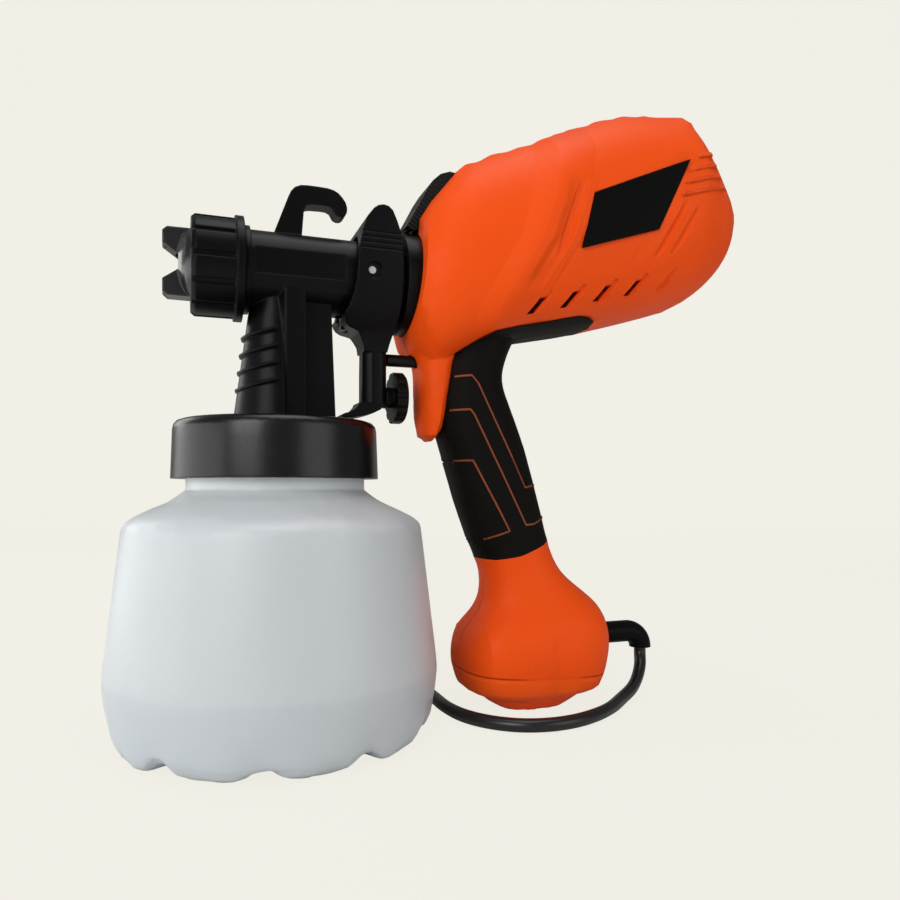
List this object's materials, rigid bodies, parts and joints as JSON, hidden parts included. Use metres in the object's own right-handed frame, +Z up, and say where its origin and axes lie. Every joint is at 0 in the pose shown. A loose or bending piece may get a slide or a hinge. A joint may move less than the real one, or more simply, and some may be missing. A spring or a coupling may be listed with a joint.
{
  "type": "paint spray gun",
  "caption": "Hand-held corded paint spray gun: turbine motor housing with pistol grip, bayonet spray head, trigger, screw-on paint container and coiled cord with plug.",
  "frame": {"origin": "centre of the underside of the paint container, on the floor the sprayer stands on", "axes": "+Z up; +X from the nozzle towards the motor, along the barrel; the cord's coil and plug lie on the +Y side"},
  "size_m": [0.2779, 0.2763, 0.2751],
  "materials": {
    "orange_shell": "fine moulded texture, satin",
    "grip_rubber": "matt overmoulded rubber",
    "panel_black": "satin film",
    "black_plastic": "satin moulded",
    "inner_plastic": "plain",
    "switch_plastic": "plain",
    "nozzle_plastic": "plain",
    "pin_plastic": "plain",
    "knob_plastic": "plain",
    "tie_plastic": "plain",
    "filter_foam": "open foam",
    "milky_plastic": "milky, lets light through",
    "cord_rubber": "satin rubber",
    "seal_rubber": "plain",
    "spring_steel": "drawn wire",
    "bright_steel": "ground",
    "dark_steel": "lacquered laminations",
    "aluminium_case": "pressed",
    "wire_copper": "insulated wire",
    "brass_parts": "bright"
  },
  "bodies": {
    "housing": {"housing_left": "orange_shell", "housing_right": "orange_shell", "housing_screws": "bright_steel", "grip_sleeve": "grip_rubber", "side_panels": "panel_black", "bayonet_collar": "black_plastic", "air_duct": "inner_plastic", "turbine_case": "aluminium_case", "stage_plate": "aluminium_case", "motor_can": "bright_steel", "motor_stator": "dark_steel", "front_bearing": "bright_steel", "rear_bearing": "bright_steel", "carbon_brushes": "brass_parts", "inlet_filter": "filter_foam", "switch_body": "black_plastic", "wiring": "wire_copper", "cable_clamp": "black_plastic", "strain_relief": "cord_rubber", "cord": "cord_rubber", "cord_coil": "cord_rubber", "cord_tail": "cord_rubber", "cord_tie": "tie_plastic", "plug_body": "cord_rubber", "plug_pins": "brass_parts", "release_spring": "spring_steel", "rod_spring": "spring_steel"},
    "spray_head": {"spray_head": "black_plastic", "needle_gland": "black_plastic", "spring_cap": "black_plastic", "fluid_nozzle": "nozzle_plastic", "nozzle_seal": "seal_rubber", "needle_spring": "spring_steel", "container_lid": "black_plastic", "lid_gasket": "seal_rubber", "suction_tube": "milky_plastic", "suction_strainer": "milky_plastic", "trigger_pins": "pin_plastic"},
    "retaining_ring": {"retaining_ring": "black_plastic"},
    "air_cap": {"air_cap": "nozzle_plastic"},
    "trigger": {"trigger": "black_plastic"},
    "flow_knob": {"flow_knob": "knob_plastic"},
    "needle": {"needle": "bright_steel"},
    "switch_rod": {"switch_rod": "switch_plastic"},
    "release_button": {"release_button": "black_plastic"},
    "rotor": {"rotor": "bright_steel", "front_impeller": "aluminium_case", "rear_impeller": "aluminium_case"},
    "container": {"container": "milky_plastic"}
  },
  "joints": [
    {"name": "head_twist", "type": "hinge", "parent": "housing", "child": "spray_head", "pos_m": [0.06, 0, 0.1863], "axis": [-1, 0, 0], "range_deg": [0, 45]},
    {"name": "ring_turn", "type": "hinge", "parent": "spray_head", "child": "retaining_ring", "pos_m": [-0.02, 0, 0.1863], "axis": [-1, 0, 0], "range_deg": [0, 360]},
    {"name": "air_cap_turn", "type": "hinge", "parent": "spray_head", "child": "air_cap", "pos_m": [-0.024, 0, 0.1863], "axis": [1, 0, 0], "range_deg": [0, 90]},
    {"name": "trigger_pull", "type": "hinge", "parent": "spray_head", "child": "trigger", "pos_m": [0.0355, 0, 0.1863], "axis": [0, -1, 0], "range_deg": [0, 5], "stiffness_Nm_per_rad": 2, "springref_deg": -8.59},
    {"name": "knob_turn", "type": "hinge", "parent": "trigger", "child": "flow_knob", "pos_m": [0.0509, 0, 0.1373], "axis": [1, 0, 0], "range_deg": [-360, 360]},
    {"name": "needle_slide", "type": "slide", "parent": "spray_head", "child": "needle", "axis": [1, 0, 0], "range_m": [0, 0.00175], "deforming": ["needle_spring"]},
    {"name": "switch_slide", "type": "slide", "parent": "housing", "child": "switch_rod", "axis": [1, 0, 0], "range_m": [0, 0.0029], "deforming": ["rod_spring"]},
    {"name": "release_press", "type": "slide", "parent": "housing", "child": "release_button", "axis": [0.8412, 0, -0.5408], "range_m": [0, 0.002], "stiffness_N_per_m": 500, "springref_m": -0.002, "deforming": ["release_spring"]},
    {"name": "rotor_spin", "type": "hinge", "parent": "housing", "child": "rotor", "pos_m": [0.05437, 0, 0.19103], "axis": [0.9455, 0, 0.3256], "continuous": true},
    {"name": "container_unscrew", "type": "hinge", "parent": "spray_head", "child": "container", "pos_m": [0, 0, 0.1], "axis": [0, 0, 1], "range_deg": [0, 360]}
  ],
  "couplings": [
    {"joint": "needle_slide", "follows": "trigger_pull", "m_per_rad": 0.02},
    {"joint": "switch_slide", "follows": "trigger_pull", "m_per_rad": 0.0328}
  ]
}
